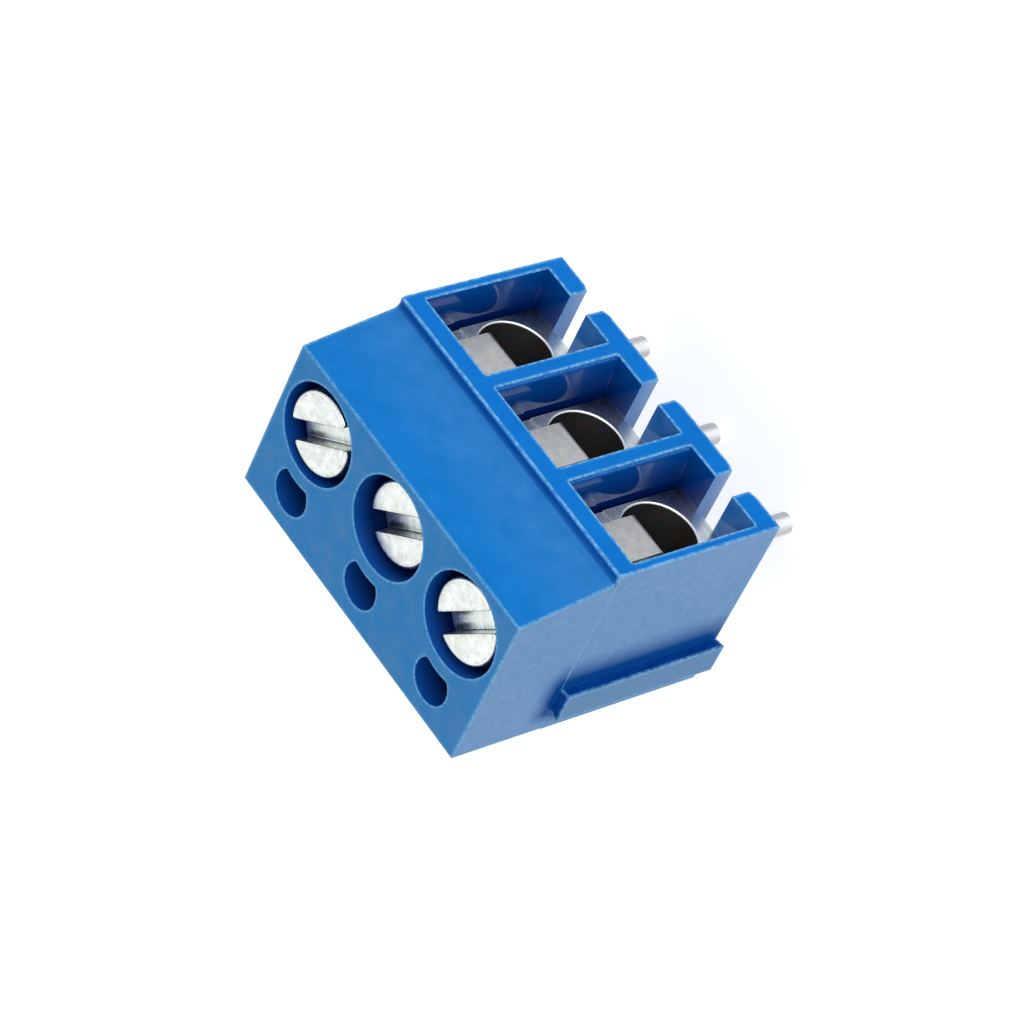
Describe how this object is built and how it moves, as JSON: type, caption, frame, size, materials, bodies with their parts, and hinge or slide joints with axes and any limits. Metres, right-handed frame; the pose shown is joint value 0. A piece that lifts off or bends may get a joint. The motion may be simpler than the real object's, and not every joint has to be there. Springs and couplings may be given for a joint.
{
  "type": "pcb terminal block",
  "caption": "Screw terminal block for a printed circuit board, with interlocking ends, wire entries at the front, driver access from above and solder pins below.",
  "frame": {"origin": "axis of the middle solder pin where it leaves the housing's underside, in the plane of the board's surface", "axes": "+Z out of the board, towards the screw heads; +X along the row of poles; the wires enter from the front at -Y"},
  "size_m": [0.0155, 0.009, 0.0169],
  "materials": {
    "housing_plastic": "fine moulded satin",
    "plated_clamp": "nickel plated, brushed",
    "tinned_pin": "tinned",
    "zinc_steel": "zinc plated, slightly mottled",
    "leaf_steel": "rolled sheet, satin"
  },
  "bodies": {
    "block": {"housing": "housing_plastic", "clamp_body_1": "plated_clamp", "clamp_body_2": "plated_clamp", "clamp_body_3": "plated_clamp", "solder_pin_1": "tinned_pin", "solder_pin_2": "tinned_pin", "solder_pin_3": "tinned_pin"},
    "guard_1": {"wire_guard_1": "leaf_steel"},
    "guard_2": {"wire_guard_2": "leaf_steel"},
    "guard_3": {"wire_guard_3": "leaf_steel"},
    "screw_1": {"clamp_screw_1": "zinc_steel"},
    "screw_2": {"clamp_screw_2": "zinc_steel"},
    "screw_3": {"clamp_screw_3": "zinc_steel"}
  },
  "joints": [
    {"name": "guard_1_slide", "type": "slide", "parent": "block", "child": "guard_1", "axis": [0, 0, 1], "range_m": [-0.00175, 0.00007]},
    {"name": "screw_1_turn", "type": "hinge", "parent": "guard_1", "child": "screw_1", "pos_m": [-0.005, 0, 0.0121], "axis": [0, 0, 1], "range_deg": [-1260, 54]},
    {"name": "guard_2_slide", "type": "slide", "parent": "block", "child": "guard_2", "axis": [0, 0, 1], "range_m": [-0.00175, 0.00007]},
    {"name": "screw_2_turn", "type": "hinge", "parent": "guard_2", "child": "screw_2", "pos_m": [0, 0, 0.0118], "axis": [0, 0, 1], "range_deg": [-1260, 54]},
    {"name": "guard_3_slide", "type": "slide", "parent": "block", "child": "guard_3", "axis": [0, 0, 1], "range_m": [-0.00175, 0.00007]},
    {"name": "screw_3_turn", "type": "hinge", "parent": "guard_3", "child": "screw_3", "pos_m": [0.005, 0, 0.0123], "axis": [0, 0, 1], "range_deg": [-1260, 54]}
  ],
  "couplings": [
    {"joint": "screw_1_turn", "follows": "guard_1_slide", "rad_per_m": 12566},
    {"joint": "screw_2_turn", "follows": "guard_2_slide", "rad_per_m": 12566},
    {"joint": "screw_3_turn", "follows": "guard_3_slide", "rad_per_m": 12566}
  ]
}
